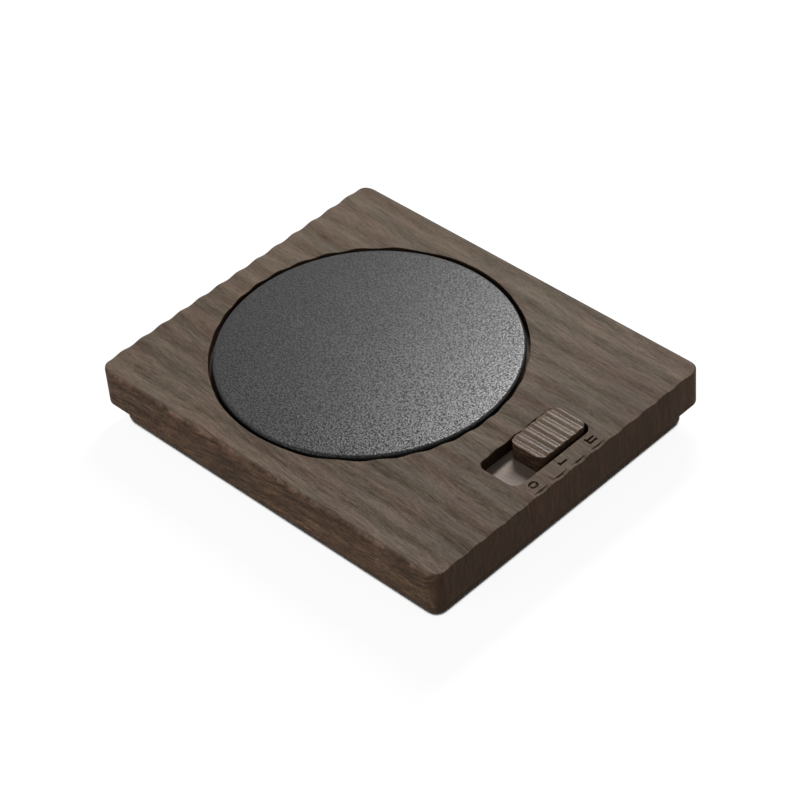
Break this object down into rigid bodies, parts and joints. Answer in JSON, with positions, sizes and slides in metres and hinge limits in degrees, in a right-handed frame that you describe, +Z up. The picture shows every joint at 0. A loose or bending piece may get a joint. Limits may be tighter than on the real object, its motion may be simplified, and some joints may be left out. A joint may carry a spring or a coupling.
{
  "type": "electric mug warmer",
  "caption": "Flat rectangular warmer with a rippled walnut housing, a round black heating plate and a slide switch with off and two settings.",
  "frame": {"origin": "middle of the plane that the feet stand on", "axes": "+X to the right, towards the slide switch; +Y to the back, towards the power inlet; +Z up"},
  "size_m": [0.129, 0.107, 0.0213],
  "materials": {
    "walnut": "satin walnut with long grain",
    "walnut_floor": "smooth satin walnut tone",
    "black_coating": "coarse black non-stick coating",
    "steel": "plain zinc-plated",
    "brass": "plain",
    "black_rubber": "matt",
    "heater_foil": "amber film",
    "fibre": "pressed white fibre",
    "board_green": "green solder mask",
    "white_nylon": "plain",
    "black_nylon": "plain",
    "ceramic_white": "glazed white",
    "red_lead": "silicone sleeve",
    "grey_lead": "silicone sleeve"
  },
  "bodies": {
    "warmer": {"top_housing": "walnut", "base_tray": "walnut", "heating_plate": "black_coating", "plate_studs": "steel", "plate_seal": "black_rubber", "heater_film": "heater_foil", "insulation_pad": "fibre", "clamp_plate": "steel", "clamp_nuts": "steel", "thermistor": "steel", "sensor_clip": "brass", "thermal_fuse": "ceramic_white", "fuse_clip": "brass", "clip_rivets": "steel", "control_board": "board_green", "board_screws": "steel", "controller_chip": "black_nylon", "power_transistor": "black_nylon", "board_resistors": "black_nylon", "board_capacitors": "steel", "lead_header": "white_nylon", "lead_plug": "white_nylon", "inlet_shell": "steel", "inlet_tongue": "black_nylon", "switch_base": "black_nylon", "switch_cover": "steel", "switch_contacts": "brass", "slider_guide": "black_nylon", "guide_screws": "steel", "heater_leads": "red_lead", "fuse_link": "red_lead", "sensor_leads": "grey_lead", "base_screws": "steel", "rubber_feet": "black_rubber"},
    "slider": {"slide_knob": "walnut", "slider_carriage": "walnut_floor", "switch_lever": "black_nylon", "switch_wiper": "brass"}
  },
  "joints": [
    {"name": "slider_travel", "type": "slide", "parent": "warmer", "child": "slider", "axis": [0, 1, 0], "range_m": [-0.0109, 0]}
  ]
}
